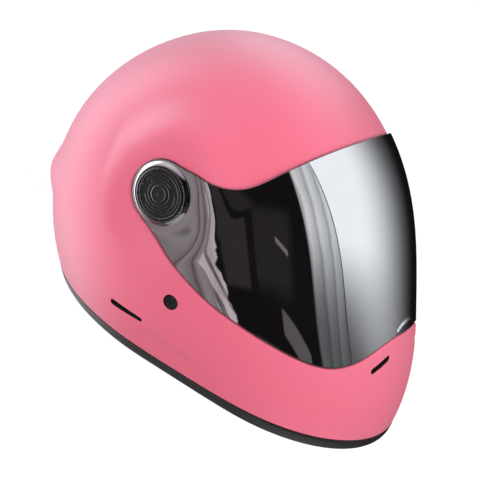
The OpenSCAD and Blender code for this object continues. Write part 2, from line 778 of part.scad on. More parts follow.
// Perforated plates inside the slots
module side_grilles() color(rubber_black) at_hinge() difference() {
    intersection() {
        side_slots(0.1, 2 * wall + 20);
        skin(-grille_depth);
    }
    skin(-grille_depth - 1.4);
    both_sides() for (i = [-1 : 2]) hull() for (z = [-0.7, 0.7])
        drill(side_slot_at + [0, 5 * i, z + 0.2 - 0.1 * i], [1, 0, 0], 0.8 + 0.12 * i, 40);
}
module chin_grilles() color(rubber_black) at_hinge() difference() {
    intersection() {
        chin_slots(0.1, 2 * wall + 20);
        skin(-grille_depth);
    }
    skin(-grille_depth - 1.4);
    both_sides() for (i = [-2 : 2]) hull() for (z = [-0.6, 0.6])
        drill(chin_slot_at + chin_slot_dir * 3.6 * i + [0, 0, z], chin_slot_out, 0.8, 40);
}

outer_shell();
base_trim();
eye_port_gasket();
crown_liner();
ring_liner();
chin_liner();
crown_pad();
brow_pad();
neck_roll();
cheek_pad_left();
cheek_pad_right();
visor_lens();
visor_bezel_left();
visor_bezel_right();
hinge_base_left();
hinge_base_right();
hinge_screws();
knob_left();
knob_right();
strap_rivets();
strap_hangers();
strap_long();
strap_short();
strap_pad();
d_rings();
chin_grilles();
side_grilles();
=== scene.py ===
# A full-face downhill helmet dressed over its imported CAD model: a smooth painted shell, a
# mirrored visor, foam, pads and straps. Sizes are in millimetres from the visor's hinge
# axis, as in the part's source, and become metres in the row's frame when a piece is made.
import math
from functools import reduce

import bpy
import numpy as np
from mathutils import Matrix, Vector
from mathutils.geometry import delaunay_2d_cdt


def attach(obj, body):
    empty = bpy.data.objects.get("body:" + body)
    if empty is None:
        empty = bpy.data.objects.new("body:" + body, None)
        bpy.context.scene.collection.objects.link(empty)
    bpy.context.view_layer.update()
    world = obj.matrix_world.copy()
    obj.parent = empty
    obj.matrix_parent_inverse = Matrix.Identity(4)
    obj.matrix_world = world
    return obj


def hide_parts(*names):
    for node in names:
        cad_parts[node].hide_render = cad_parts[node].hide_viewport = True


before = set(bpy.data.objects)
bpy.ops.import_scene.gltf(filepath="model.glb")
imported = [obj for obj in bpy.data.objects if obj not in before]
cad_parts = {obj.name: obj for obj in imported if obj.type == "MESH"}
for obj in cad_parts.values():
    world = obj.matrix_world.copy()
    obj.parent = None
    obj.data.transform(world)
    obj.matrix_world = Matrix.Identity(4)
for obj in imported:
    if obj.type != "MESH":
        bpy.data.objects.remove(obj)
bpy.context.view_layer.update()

# The helmet's surface, with the names and sizes of the part's source

HINGE = np.array([0, 30.85, 122.5])
FLOOR_Z = -HINGE[2]
TRIM_TOP = FLOOR_Z + 10
CENTRE = np.array([0, -11.8, -38.0])
SHELL_HALF_W = 124.0
DOME_RADIUS = 136.0
DOME_SKEW = 6.7
DOME_POWER = 2.22
DOME_POWER_BACK = 0.13   # added to the power at the back, taken off at the front
JAW_TILT = math.radians(43)
JAW_HALF = np.array([112.6, 165, 99.6])
JAW_MID = np.array([0, -49, -50.7])
BLEND = 18               # how softly the dome runs into the jaw
RIDGE_HEIGHT = 4.6
RIDGE_AT = -6.6          # angle of the spoiler ridge above the level, at the back
RIDGE_RUN = 19.5         # angles over which it rises and falls, and how sharply it rises
RIDGE_DROP = 10
RIDGE_POWER = 4
RIDGE_END = SHELL_HALF_W - 12
RIDGE_FADE = 50
SEAT_X = 118.8           # the flat seat of the hinge
SEAT_R = 25
SEAT_FADE = 50.0         # where it has run out into the dome, and how much further at the top
SEAT_MORE = 16.0
SEAT_FALL = 0.015
LIP = 2.6
LIP_HINGE = (8, 22)      # how far from the hinge the lip starts and is full
LIP_FRONT = (25, -5)     # angles round the hinge where it starts and is full, at both ends
LIP_BACK = (150, 200)
WALL = 4.0
LEDGE = 0.15
LENS_GAP = 0.9           # room under the lens, so that it clears the shell when it swings
LENS_OUT = 2.6
LENS_ROUND = 0.5
LENS_FACE = SEAT_X + LENS_OUT + 0.05
LOBE_R = 23.4
EDGE_GAP = 1.0
PORT_INSET = 13.0
SIDE_SLOT = ([1.2, -90], [-22.9, -88.9], 2.3, 1.6)   # its ends, and their radii
CHIN_SLOT = ([-8.4, 0], [8.4, 0], 2.1, 2.1)
CHIN_SLOT_AT = [36.8, -168.8, -54.5]
CHIN_SLOT_DIR = [0.884, 0.126, -0.454]
CHIN_SLOT_OUT = [0.32, -0.865, 0.385]
SLOT_STEP = 0.7          # between the points of a slot's edge
SLOT_ROUND = 0.5
RIVET_ROUND = 0.8
LINING_FOOT = 4.4        # how far down the slots' black linings go
RIVET_AT = (-39.4, -62.2)
RIVET_HOLE_R = 5.5
LENS_HOLE_R = 9.4
PER_RADIAN = 130.0       # millimetres of chart for each radian
MID = PER_RADIAN * math.pi / 2   # the circle of the chart that is the middle plane
SKIN_STEP = 2.4          # sides of the triangles of the shell's face, the lens and the rest
LENS_STEP = 2.0
HIDDEN_STEP = 3.0
INSIDE_STEP = 5.0
ROW_STEP = 0.866         # height of a row of triangles, as a share of their sides
NEAREST = 0.6            # least gap from a mesh point to an edge, as a share of the step
CHART_STEP = 0.06        # how far from a point its surface is taken for the normal
HALVINGS = 40            # steps that find a point of the surface
SHARP = math.radians(50)
TAB_HALF = 20.0          # the thumb lip's half width, height and reach
TAB_UP = 7.8
TAB_OUT = 1.7
KNOB_R = 18.0
KNOB_FACE = 3.1          # how far the knob's face stands over the lens
KNOB_BACK = 0.9
KNOB_ROUND = 0.5
KNOB_STEM_R = 4.0
KNOB_STEPS = 216
BEZEL_MID = 20.125
BEZEL_HALF = 1.775
BEZEL_LIP = 2.2          # height of the bezel's lip over the lens, and its rounding
BEZEL_ROUND = 0.5
BEZEL_STEPS = 180
# Raised ridges of the knob: radius, first and last degree. Pips: radius and degree.
KNOB_RIDGES = [(14.8, -20, 380), (12.4, 15, 110), (12.4, 150, 215), (12.4, 245, 305),
               (10.2, 25, 130), (10.2, 190, 340), (8.0, -20, 380)]
KNOB_PIPS = [(17.1, 62), (17.1, 152), (17.1, 242), (17.1, 332), (13.5, 182), (13.5, 2)]
STRAP_Y = RIVET_AT[0]
STRAP_LOW = FLOOR_Z + 1.9
RING_X = 34
TENT_LOW = 1.75          # the tent's light from the sides and below, and from high up
TENT_HIGH = 0.0
TENT_BACK = 0.5          # its share from behind the helmet and from the viewer's side
TENT_FRONT = 1.08
CARDS_R = 2.4            # how far away the studio's cards stand, in metres
HAZE_LIGHT = 4.4         # the haze on the left and the lamp boxes, which veil the paint
BOX_LIGHT = 1.0
LAMP_FAR = 1.7           # from the helmet's middle, in metres


def ease(t):
    c = np.clip(t, 0, 1)
    return c * c * (3 - 2 * c)


def fade(value, start, full):
    """0 up to start, 1 from full on and eased between them. full may be under start."""
    return ease((value - start) / (full - start))


def base_at(d):
    """Distance from the middle to the helmet's base surface along unit vectors d."""
    x, y, z = d[..., 0], d[..., 1], d[..., 2]
    q = np.maximum(np.hypot(y, z), 1e-6)
    back, up = y / q, z / q
    n = DOME_POWER + DOME_POWER_BACK * back
    r = DOME_RADIUS + DOME_SKEW * 2 * back * up
    dome = ((np.abs(x) / SHELL_HALF_W) ** n + (q / r) ** n) ** (-1 / n)
    c, s = math.cos(JAW_TILT), math.sin(JAW_TILT)

    def in_jaw(v):
        return np.stack([v[..., 0], c * v[..., 1] + s * v[..., 2],
                         c * v[..., 2] - s * v[..., 1]], -1) / JAW_HALF
    a, b = in_jaw(d), in_jaw(CENTRE - JAW_MID)
    aa, ab = (a * a).sum(-1), (a * b).sum(-1)
    jaw = (np.sqrt(np.maximum(ab ** 2 - aa * ((b * b).sum() - 1), 0)) - ab) / aa
    r0 = np.maximum(dome, jaw) + np.maximum(BLEND - np.abs(dome - jaw), 0) ** 2 / (4 * BLEND)
    angle = np.degrees(np.arctan2(z, y))
    rise = ease(1 - (angle - RIDGE_AT) / RIDGE_RUN) ** RIDGE_POWER
    drop = ease(1 - (RIDGE_AT - angle) / RIDGE_DROP)
    ridge = RIDGE_HEIGHT * np.where(angle > RIDGE_AT, rise, drop)
    r1 = r0 + ridge * ease((RIDGE_END - np.abs(x) * r0) / RIDGE_FADE)
    p = CENTRE + d * r1[..., None]
    reach = np.hypot(p[..., 1], p[..., 2])
    top = ease(p[..., 2] / np.maximum(reach, 1) + 0.2)
    seat = fade(reach, SEAT_FADE + SEAT_MORE * top, SEAT_R)
    dish = SEAT_X - SEAT_FALL * top * np.maximum(reach - SEAT_R, 0) ** 2
    return np.where(seat > 0, r1 * (1 - seat) + seat * dish / np.maximum(np.abs(x), 0.1), r1)


def lip_at(p):
    """Height of the lip that stands round the lower half of the visor."""
    turn = np.degrees(np.arctan2(p[..., 2], -p[..., 1]))
    angle = np.where(turn < -150, turn + 360, turn)
    return LIP * fade(np.hypot(p[..., 1], p[..., 2]), *LIP_HINGE) * np.where(
        angle < 60, fade(angle, *LIP_FRONT), fade(angle, *LIP_BACK))


def level(off):
    """A surface at a fixed distance off the base."""
    return lambda p: np.full(p.shape[:-1], float(off))


BASE = level(0)


def unit(v):
    return v / np.maximum(np.linalg.norm(v, axis=-1, keepdims=True), 1e-12)


# A chart of the left half of the helmet: the hinge side is in its middle, u runs forwards
# and v up, and the helmet's middle plane is the circle of radius MID

def chart_dir(uv):
    a = np.hypot(uv[..., 0], uv[..., 1]) / PER_RADIAN
    s = np.where(a > 1e-9, np.sin(a) / np.maximum(a, 1e-9), 1) / PER_RADIAN
    return np.stack([np.cos(a), -uv[..., 0] * s, uv[..., 1] * s], -1)


def to_chart(p):
    d = unit(np.asarray(p, float) - CENTRE)
    q = np.hypot(d[..., 1], d[..., 2])
    angle = np.arccos(np.clip(d[..., 0], -1, 1))
    k = np.where(q > 1e-9, angle / np.maximum(q, 1e-9), 1) * PER_RADIAN
    return np.stack([-d[..., 1] * k, d[..., 2] * k], -1)


def surface(uv, off):
    d = chart_dir(uv)
    r = base_at(d)
    return CENTRE + d * (r + off(CENTRE + d * r[..., None]))[..., None]


def normals(uv, off):
    du, dv = np.array([CHART_STEP, 0]), np.array([0, CHART_STEP])
    n = unit(np.cross(surface(uv + du, off) - surface(uv - du, off),
                      surface(uv + dv, off) - surface(uv - dv, off)))
    return n * np.sign((n * chart_dir(uv)).sum(-1, keepdims=True))


def on_side(y, z, off):
    """The point of a surface at y, z on the left side, found by halving."""
    lo, hi = np.zeros_like(y), np.full_like(y, 140.0)
    for _ in range(HALVINGS):
        x = (lo + hi) / 2
        p = np.stack([x, y, z], -1) - CENTRE
        r = np.linalg.norm(p, axis=-1)
        d = p / r[..., None]
        rb = base_at(d)
        under = r < rb + off(CENTRE + d * rb[..., None])
        lo, hi = np.where(under, x, lo), np.where(under, hi, x)
    return np.stack([lo, y, z], -1)


# Curves on the chart

def spline(p, parts):
    """A smooth curve through points, with parts pieces between each two."""
    p = np.asarray(p, float)
    q = np.vstack([2 * p[0] - p[1], p, 2 * p[-1] - p[-2]])
    t = (np.arange(parts) / parts)[:, None]
    out = [(2 * b + (c - a) * t + (2 * a - 5 * b + 4 * c - d) * t ** 2
            + (3 * b - a - 3 * c + d) * t ** 3) / 2
           for a, b, c, d in zip(q[:-3], q[1:-2], q[2:-1], q[3:])]
    return np.vstack(out + [p[-1:]])


def resample(uv, step, off=BASE, closed=False):
    """The curve again with points about step apart on the surface."""
    if closed:
        uv = np.vstack([uv, uv[:1]])
    for _ in range(2):
        p = surface(uv, off)
        s = np.concatenate([[0], np.cumsum(np.linalg.norm(np.diff(p, axis=0), axis=1))])
        k = np.linspace(0, s[-1], max(int(round(s[-1] / step)), 3) + 1)
        uv = np.stack([np.interp(k, s, uv[:, i]) for i in (0, 1)], -1)
    return uv[:-1] if closed else uv


def to_edge(uv):
    """The curve with its two ends set exactly on the middle plane."""
    for k in (0, -1):
        uv[k] *= MID / np.hypot(*uv[k])
    return uv


def to_middle(uv):
    """Cuts a curve off where it crosses the middle plane, at both ends."""
    a = np.hypot(uv[:, 0], uv[:, 1])
    near = np.where(a < MID)[0]
    i, j = near[0], near[-1]
    ends = []
    for k, m in ((i, i - 1), (j, j + 1)):
        t = (MID - a[k]) / (a[m] - a[k])
        e = uv[k] + (uv[m] - uv[k]) * t
        ends.append(e / np.hypot(*e) * MID)
    return np.vstack([ends[0], uv[i:j + 1], ends[1]])


def frame_of(uv, off, closed=False):
    """Points, normals and, to the right of the way along, sideways directions of a curve."""
    p, n = surface(uv, off), normals(uv, off)
    if closed:
        t = unit(np.roll(p, -1, 0) - np.roll(p, 1, 0))
    else:
        t = np.gradient(p, axis=0)
        t[[0, -1]] = [1, 0, 0] * np.sign(t[[0, -1], :1])
        t = unit(t)
    return p, n, unit(np.cross(t, n))


def moved(uv, off, by):
    """The curve moved sideways over the surface."""
    p, _, side = frame_of(uv, off)
    return to_edge(to_chart(p + side * by))


def inside(points, loop):
    """Which chart points lie inside a closed loop."""
    x, y = points[:, 0][:, None], points[:, 1][:, None]
    a, b = loop, np.roll(loop, -1, 0)
    cross = (a[:, 1] > y) != (b[:, 1] > y)
    at = a[:, 0] + (y - a[:, 1]) / np.where(b[:, 1] == a[:, 1], 1e-12, b[:, 1] - a[:, 1]) * (
        b[:, 0] - a[:, 0])
    return (np.sum(cross & (x < at), axis=1) % 2) == 1


def middle_arc(a, b, step=2.5, over_top=False):
    """The middle plane's circle between chart points a and b, by way of the front or over
    the top from the back, without its ends."""
    t0, t1 = math.atan2(a[1], a[0]), math.atan2(b[1], b[0])
    if over_top:
        t0 += 2 * math.pi
    t = np.linspace(t0, t1, max(int(abs(t1 - t0) * MID / step), 2) + 1)
    return np.stack([MID * np.cos(t), MID * np.sin(t)], -1)[1:-1]


def fill(outer, holes, step, fine=()):
    """Triangles of the chart inside a closed loop and outside its holes. fine lists the
    (middle, radius, step) of places with smaller triangles."""
    def kept(c):
        return inside(c, outer) & ~np.any([inside(c, hole) for hole in holes], axis=0)

    def grid(low, high, gap):
        x, y = np.meshgrid(np.arange(low[0], high[0], gap),
                           np.arange(low[1], high[1], gap * ROW_STEP))
        x = x + (np.arange(len(x)) % 2 * gap / 2)[:, None]
        return np.stack([x.ravel(), y.ravel()], -1)

    loops = [outer] + holes
    edge = np.vstack(loops)
    points = grid(edge.min(0), edge.max(0), step)
    for c, r, s in fine:
        g = grid(c - r, c + r, s)
        points = np.vstack([points[np.hypot(*(points - c).T) >= r + s / 2],
                            g[np.hypot(*(g - c).T) < r]])
    # Points nearer to an edge than most of its own step would make slivers
    sides = np.concatenate([np.linalg.norm(loop - np.roll(loop, 1, 0), axis=1) for loop in loops])
    room = np.minimum(NEAREST * sides, step * NEAREST)
    clear = [np.all(np.hypot(*(edge - p).T) > room) for p in points]
    points = points[clear]
    points = points[kept(points)]
    edges, start = [], 0
    for n in map(len, loops):
        edges += [(start + i, start + (i + 1) % n) for i in range(n)]
        start += n
    coords = [Vector(c) for c in np.vstack([edge, points])]
    v, _, f, _, _, _ = delaunay_2d_cdt(coords, edges, [], 0, 1e-7)
    v = np.array([tuple(c) for c in v])
    f = np.array([t for t in f if len(t) == 3])
    return v, f[kept(v[f].mean(1))]


# Making pieces

def to_row(p):
    """Points of the row's frame, in metres, from millimetres from the hinge axis."""
    return (np.asarray(p) + HINGE) / 1000


def rounded(p, n, side, radius, steps=7):
    """Rings and normals of a rounded edge that turns from n to side and ends under p."""
    turns = np.radians(np.linspace(0, 90, steps))
    rings = [p - side * radius * (1 - math.sin(t)) - n * radius * (1 - math.cos(t))
             for t in turns]
    return rings, [n * math.cos(t) + side * math.sin(t) for t in turns]


def smooth_mesh(name, v, faces):
    mesh = bpy.data.meshes.new(name)
    mesh.from_pydata(to_row(v).tolist(), [], faces)
    mesh.validate()
    mesh.update()
    mesh.shade_smooth()
    return mesh


class Patches:
    """Collects patches of one piece, each with its own normals."""

    def __init__(self):
        self.v, self.n, self.f, self.count = [], [], [], 0

    def add(self, v, n, faces):
        self.v.append(np.asarray(v).reshape(-1, 3))
        self.n.append(np.asarray(n).reshape(-1, 3))
        self.f += [tuple(int(i) + self.count for i in f) for f in faces]
        self.count += len(self.v[-1])

    def region(self, uv, faces, off, outside=True):
        """Part of a surface, from chart triangles."""
        p, n = surface(uv, off), normals(uv, off)
        a, b, c = p[faces[:, 0]], p[faces[:, 1]], p[faces[:, 2]]
        wrong = (np.cross(b - a, c - a) * n[faces[:, 0]]).sum(1) < 0
        faces = np.where((wrong == outside)[:, None], faces[:, ::-1], faces)
        self.add(p, n if outside else -n, faces)

    def band(self, rings, ring_normals, closed):
        """Quads between rings of points, one inside the other."""
        p, q = np.array(rings), np.array(ring_normals)
        faces = ring_faces(len(rings), len(rings[0]), closed)
        k = (len(rings) - 1) // 2
        a, b, c = p[k, 0], p[k, 1], p[k + 1, 0]
        if np.dot(np.cross(b - a, c - a), q[k, 0] + q[k + 1, 0]) < 0:
            faces = [f[::-1] for f in faces]
        self.add(p, q, faces)

    def build(self, name, material):
        """The piece: what was collected, and its mirror image on the other side."""
        v, n = np.vstack(self.v), np.vstack(self.n)
        faces = self.f + [tuple(i + len(v) for i in t[::-1]) for t in self.f]
        v = np.vstack([v, v * [-1, 1, 1]])
        n = np.vstack([n, n * [-1, 1, 1]])
        mesh = smooth_mesh(name, v, faces)
        mesh.normals_split_custom_set_from_vertices(unit(n).tolist())
        return link(name, mesh, material)


def link(name, data, material=None):
    ob = bpy.data.objects.new(name, data)
    bpy.context.scene.collection.objects.link(ob)
    if material:
        data.materials.append(material)
    return ob


def solid(name, v, faces, material):
    """A plain mesh piece in the hinge's frame, smooth but for its sharp edges."""
    mesh = smooth_mesh(name, v, faces)
    mesh.set_sharp_from_angle(angle=SHARP)
    return link(name, mesh, material)


def ring_faces(m, n, closed=True):
    """Quads of a grid of m rings with n points each."""
    return [(i * n + j, i * n + (j + 1) % n, (i + 1) * n + (j + 1) % n, (i + 1) * n + j)
            for i in range(m - 1) for j in range(n if closed else n - 1)]


# Outlines on the surface, from the visor's hinge to the front

VISOR_TOP = [[114.2, -17.5, 21], [112.9, -28, 20.8], [109.3, -41, 25], [102, -51, 33],
             [84.3, -61.3, 48.5], [68.6, -68, 58.3], [47.4, -74.5, 67.1], [25, -78.6, 71.8],
             [8, -79.8, 73.4]]
VISOR_LOW = [[126.6, -13.5, -29.7], [125.3, -40, -39.8], [121.5, -62, -47], [114.6, -85, -51.7],
             [105.9, -108, -55.8], [91.6, -129, -59.2], [80.1, -143, -59.8], [71.3, -151, -58],
             [57.9, -158.1, -52.4], [37.1, -162.7, -42.1], [20.3, -163.1, -37.4],
             [7, -163.2, -36.4]]


def tangent_angle(point, hand):
    """The angle round the hinge at which the line from a point touches the visor's round end."""
    _, y, z = point
    return math.atan2(z, -y) + hand * math.acos(LOBE_R / math.hypot(y, z))


def visor_edge(points):
    """One of the visor's edges, carried on a little over the middle."""
    mirrored = [[-x, y, z] for x, y, z in points[:-3:-1]]
    return spline(to_chart(points + mirrored), 16)


def visor_outline():
    """The visor's edge on the chart, from the front over the hinge and back to the front."""
    t0 = tangent_angle(VISOR_TOP[0], 1)
    t1 = tangent_angle(VISOR_LOW[0], -1) + 2 * math.pi
    t = np.linspace(t0, t1, 60)
    lobe = side_loop(np.stack([-LOBE_R * np.cos(t), LOBE_R * np.sin(t)], -1), level(LENS_OUT))
    uv = to_middle(np.vstack([visor_edge(VISOR_TOP)[::-1], lobe, visor_edge(VISOR_LOW)]))
    uv = resample(uv, 1.0, level(LENS_OUT))
    for _ in range(14):
        uv[1:-1] = (uv[:-2] + 2 * uv[1:-1] + uv[2:]) / 4
    return to_edge(resample(uv, 1.1, level(LENS_OUT)))


def side_loop(points, off):
    """The chart's points for [y, z] on the left side."""
    p = np.array(points, float)
    return to_chart(on_side(p[:, 0], p[:, 1], off))


def capsule(a, b, ra, rb):
    """A round-ended outline from a to b in a plane, with end radii ra and rb."""
    a, b = np.array(a, float), np.array(b, float)
    h = math.atan2(*(b - a)[::-1])
    t = np.linspace(math.pi / 2, 3 * math.pi / 2, 14)
    ends = [np.stack([c[0] + r * np.cos(h + s + t), c[1] + r * np.sin(h + s + t)], -1)
            for c, r, s in ((a, ra, 0), (b, rb, math.pi))]
    return np.vstack(ends)


def circle(y, z, r, count, off):
    """The chart's points of a round hole in the left side."""
    t = np.linspace(0, 2 * math.pi, count, endpoint=False)
    return side_loop(np.stack([y + r * np.cos(t), z + r * np.sin(t)], -1), off)


def clockwise(loop):
    area = np.sum(loop[:, 0] * np.roll(loop[:, 1], -1) - np.roll(loop[:, 0], -1) * loop[:, 1])
    return loop if area < 0 else loop[::-1]


def side_slot():
    loop = side_loop(capsule(*SIDE_SLOT), lip_at)
    return clockwise(resample(loop, SLOT_STEP, closed=True))


def chin_slot():
    along = unit(np.array(CHIN_SLOT_DIR))
    across = np.cross(unit(np.array(CHIN_SLOT_OUT)), along)
    c = capsule(*CHIN_SLOT)
    loop = to_chart(CHIN_SLOT_AT + c[:, :1] * along + c[:, 1:] * across)
    return clockwise(resample(loop, SLOT_STEP, closed=True))


outline = visor_outline()
rivet_hole = clockwise(circle(*RIVET_AT, RIVET_HOLE_R, 48, lip_at))


def rim(z, off, turns):
    """Points of the outline of the lipped surface at height z, off outside it."""
    t = np.radians(turns)
    q = np.full_like(t, 120.0)
    for _ in range(20):
        v = np.stack([q * np.sin(t), -q * np.cos(t), np.full_like(t, z - CENTRE[2])], -1)
        d = unit(v)
        rb = base_at(d)
        r = rb + lip_at(CENTRE + d * rb[..., None]) + off
        q = np.sqrt(np.maximum(r * r - v[:, 2] ** 2, 1))
    return v + CENTRE


def port_loop():
    """The eye port's edge on the chart, from the front round its side end to the front."""
    uv = moved(outline, level(LENS_OUT), -PORT_INSET * SIDE)
    p = surface(uv, BASE)
    top = uv[(p[:, 2] > -8) & (p[:, 1] < -66)]
    low = uv[(p[:, 2] < -8) & (p[:, 1] < -60)]
    a, b = surface(top[-1:], BASE)[0], surface(low[:1], BASE)[0]
    end = side_loop([[a[1] + 9, a[2] - 6.5], [-49.6, a[2] - 17], [-48.6, 0], [-48.8, -15],
                     [-51.5, b[2] + 3.5]], BASE)
    return to_edge(resample(spline(np.vstack([top[::6], end, low[3::6], low[-1:]]), 8), 1.4))


# Which side of the outline the shell is on: right of its way is 1
side_at_hinge = frame_of(outline, level(LENS_OUT))[2][len(outline) // 2]
SIDE = 1.0 if side_at_hinge[1] > 0 else -1.0
port = port_loop()


# Materials

class Nodes:
    """Writes the nodes of a material or of the world as short sums."""

    def __init__(self, tree):
        self.tree = tree

    def new(self, kind, *inputs, **settings):
        """A node with its settings and, in their order, its first inputs."""
        node = self.tree.nodes.new("ShaderNode" + kind)
        for name, value in settings.items():
            setattr(node, name, value)
        for value, socket in zip(inputs, node.inputs):
            self.put(value, socket)
        return node

    def put(self, value, socket):
        if isinstance(value, bpy.types.NodeSocket):
            self.tree.links.new(value, socket)
        else:
            socket.default_value = value

    def math(self, operation, *values):
        return self.new("Math", *values, operation=operation).outputs[0]

    def chain(self, operation, values):
        return reduce(lambda a, b: self.math(operation, a, b), values)

    def add(self, *values):
        return self.chain("ADD", values)

    def mul(self, *values):
        return self.chain("MULTIPLY", values)

    def most(self, *values):
        return self.chain("MAXIMUM", values)

    def ramp(self, value, low, high, start=0.0, end=1.0):
        """Eases from start to end while value goes from low up to high."""
        node = self.new("MapRange", value, low, high, start, end,
                        interpolation_type="SMOOTHSTEP")
        return node.outputs["Result"]

    def between(self, value, a, b, c, d):
        """1 from b to c, eased down to 0 at a and at d."""
        return self.mul(self.ramp(value, a, b), self.ramp(value, c, d, 1.0, 0.0))

    def vector(self, *values):
        return self.new("CombineXYZ", *values).outputs[0]

    def colour(self, share, a, b):
        """The colour that is a where share is 0 and b where it is 1."""
        node = self.new("Mix", share, data_type="RGBA")
        self.put((*a, 1), node.inputs[6])
        self.put((*b, 1), node.inputs[7])
        return node.outputs[2]

    def noise(self, where, scale, detail=2.0):
        return self.new("TexNoise", where, 0.0, scale, detail).outputs["Fac"]

    def beads(self, where, scale):
        return self.new("TexVoronoi", where, 0.0, scale).outputs["Distance"]

    def weave(self, where, scale):
        """Threads that cross: waves along the three axes, added up."""
        total = 0.0
        for axis in "XYZ":
            wave = self.new("TexWave", where, scale, 0.4, bands_direction=axis)
            total = self.math("ADD", wave.outputs["Fac"], total)
        return total


def srgb(*values):
    """A colour given as it looks on a screen, 0 to 255."""
    return tuple(v / 3294.6 if v < 10.3 else ((v / 255 + 0.055) / 1.055) ** 2.4 for v in values)


def material(name, colour, rough, tint, relief, **sockets):
    """tint is (scale, strength): how the colour and the roughness vary over the surface.
    relief is (kind, scale, height in millimetres)."""
    m = bpy.data.materials.new(name)
    m.use_nodes = True
    g = Nodes(m.node_tree)
    shader = m.node_tree.nodes["Principled BSDF"]
    for socket, value in sockets.items():
        shader.inputs[socket.replace("_", " ")].default_value = value
    where = g.new("TexCoord").outputs["Object"]
    tint_scale, strength = tint
    patch = g.noise(where, tint_scale, 5.0)
    less, more = 1 - strength, 1 + strength
    g.put(g.colour(g.ramp(patch, 0.3, 0.7), [c * less for c in colour],
                   [min(c * more, 1) for c in colour]), shader.inputs["Base Color"])
    g.put(g.ramp(patch, 0.2, 0.8, rough * less, min(rough * more, 1)), shader.inputs["Roughness"])
    kind, scale, height = relief
    bump = g.new("Bump", 0.6, height / 1000)
    g.put(getattr(g, kind)(where, scale), bump.inputs["Height"])
    g.put(bump.outputs["Normal"], shader.inputs["Normal"])
    return m


PINK = material("pink_paint", srgb(232, 90, 118), 0.5, (9, 0.012), ("noise", 900, 0.015),
                Specular_IOR_Level=1.0, Specular_Tint=(0.66, 0.82, 1, 1),
                Coat_Weight=0.15, Coat_Roughness=0.45,
                Sheen_Weight=0.15, Sheen_Roughness=0.9, Sheen_Tint=(0.8, 0.88, 1, 1))
MIRROR = material("mirror_lens", (0.87, 0.87, 0.89), 0.03, (14, 0.01), ("noise", 6, 0.02),
                  Metallic=1.0)
SMOKE = material("smoked_lens", srgb(34, 27, 31), 0.2, (30, 0.08), ("noise", 60, 0.01))
CHROME = material("chrome_bezel", (0.27, 0.27, 0.28), 0.1, (60, 0.02), ("noise", 90, 0.01),
                  Metallic=1.0)
RUBBER = material("black_rubber", srgb(30, 27, 28), 0.5, (40, 0.1), ("noise", 1400, 0.03))
KNOB = material("knob_black", srgb(18, 16, 19), 0.33, (50, 0.1), ("noise", 1100, 0.006))
FOAM = material("liner_foam", srgb(46, 46, 48), 0.75, (120, 0.12), ("beads", 330, 0.35))
CLOTH = material("comfort_cloth", srgb(42, 42, 45), 0.9, (150, 0.15), ("weave", 520, 0.25),
                 Sheen_Weight=0.35)
WEB = material("webbing", srgb(24, 24, 26), 0.8, (90, 0.15), ("weave", 380, 0.4),
               Sheen_Weight=0.2)
THREAD = material("stitching", srgb(70, 70, 74), 0.8, (200, 0.1), ("noise", 2500, 0.1))
STEEL = material("strap_steel", (0.56, 0.56, 0.58), 0.25, (80, 0.06), ("noise", 700, 0.01),
                 Metallic=1.0)
PLASTIC = material("hinge_plastic", srgb(26, 25, 28), 0.42, (60, 0.1), ("noise", 1000, 0.02),
                   Specular_IOR_Level=0.2)


# The shell

def skin_at(p):
    """The shell's face: its lip, less a soft crease from the side slot forwards and what
    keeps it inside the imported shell's box at the back and at the top."""
    y, z = p[..., 1], p[..., 2]
    inset = 0.15 + 0.85 * fade(y, 112, 126) + 0.15 * fade(z, 85, 97)
    under_crease = -88.9 - (-24 - y) * 0.073 - z
    dip = 0.9 * fade(under_crease, 0, 6) * (1 - fade(under_crease, 9, 20))
    return lip_at(p) - dip * (fade(y, -20, -30) * (1 - fade(y, -62, -92))) - inset


rim_curve = to_edge(to_chart(rim(TRIM_TOP + 0.1, 0, np.linspace(0, 180, 220))))


def hole_frame(loop, off):
    """Points and normals of a hole's edge, and its directions into the hole."""
    p, n, side = frame_of(loop, off, True)
    return p, n, side * np.sign(((p.mean(0) - p) * side).sum(-1).mean())


